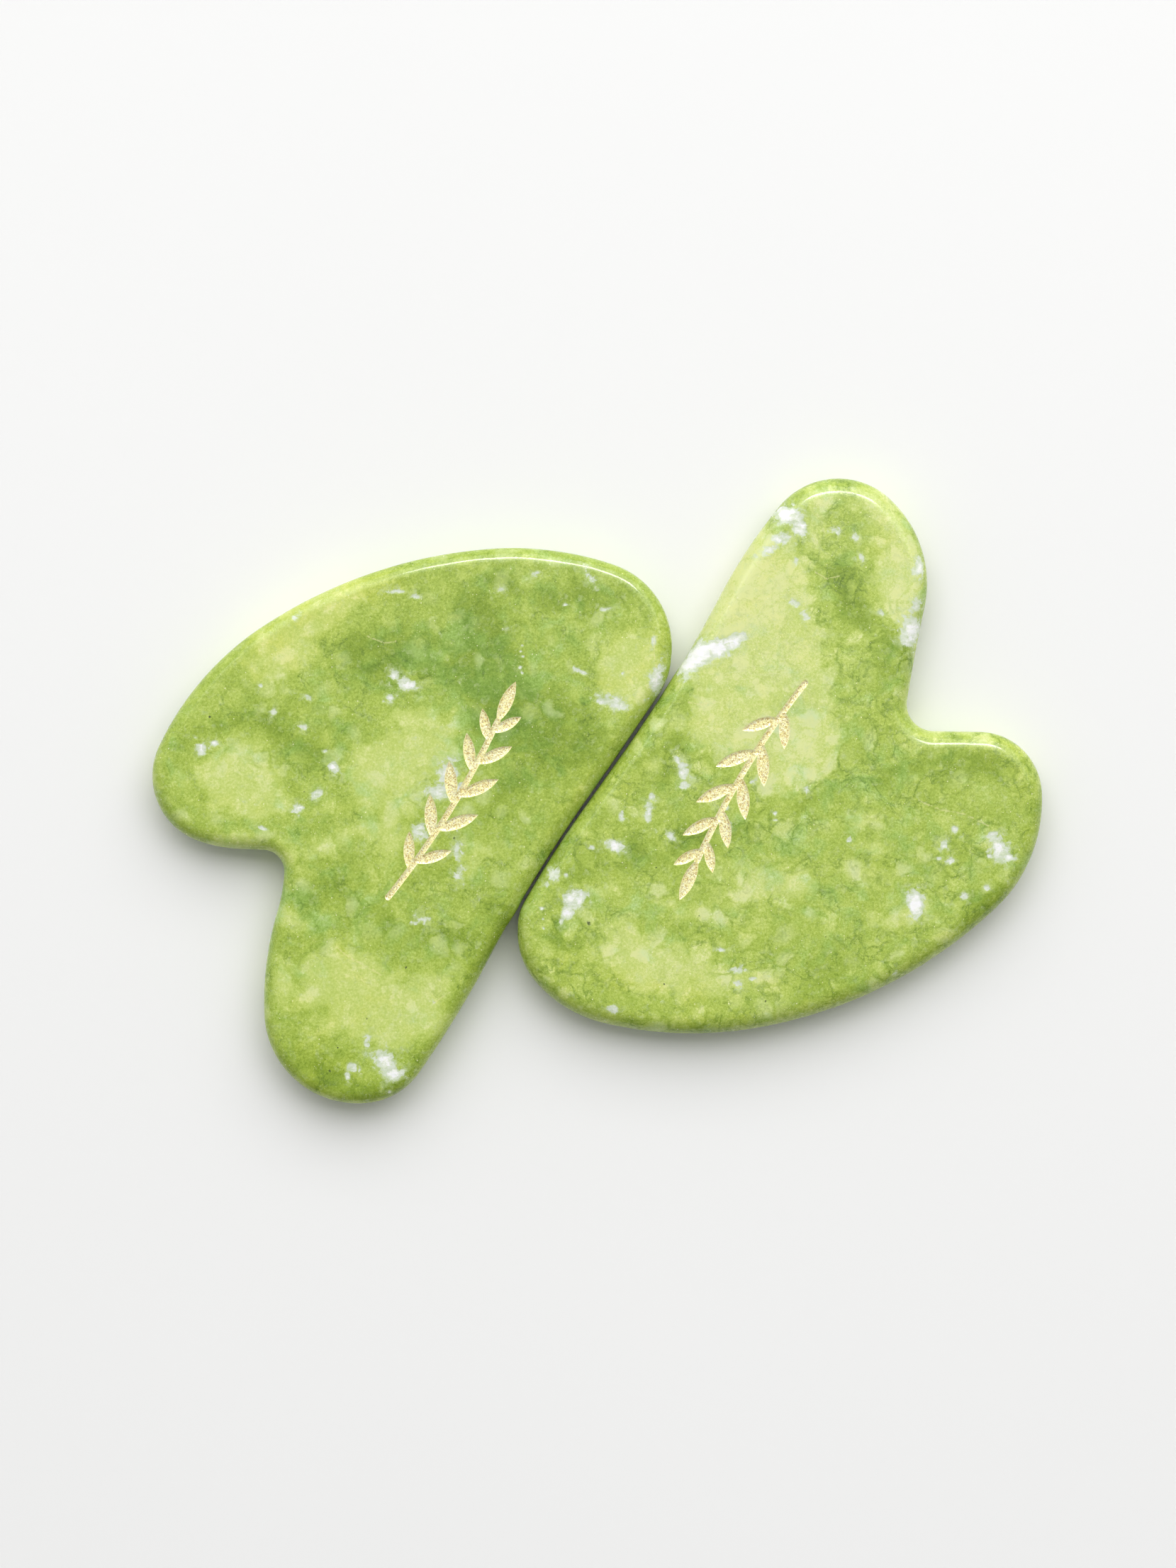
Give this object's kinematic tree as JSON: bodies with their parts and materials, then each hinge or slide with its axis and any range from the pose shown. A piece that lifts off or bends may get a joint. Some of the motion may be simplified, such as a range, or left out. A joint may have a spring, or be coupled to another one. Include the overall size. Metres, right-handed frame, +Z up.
{
  "type": "gua sha scraper pair",
  "caption": "Matched pair of polished green jade gua sha scrapers, notched heart-like outline with rounded edges and a gold leaf sprig, laid straight edge to straight edge.",
  "frame": {"origin": "middle of the underside of the pair's bounding box, on the surface that both scrapers lie on", "axes": "+X along the pair's length, from the left scraper towards the right one; +Y across the pair in the resting plane, towards the right scraper's tab; +Z up, out of the engraved faces"},
  "size_m": [0.123, 0.0864, 0.0065],
  "materials": {
    "left_jade": "polished",
    "right_jade": "polished",
    "gold_paint": "satin"
  },
  "bodies": {
    "left_scraper": {"left_stone": "left_jade", "left_gold_fill": "gold_paint"},
    "right_scraper": {"right_stone": "right_jade", "right_gold_fill": "gold_paint"}
  },
  "joints": [
    {"name": "right_scraper_slide", "type": "slide", "parent": "left_scraper", "child": "right_scraper", "axis": [0.8522, -0.5231, 0], "range_m": [0, 0.06]}
  ]
}
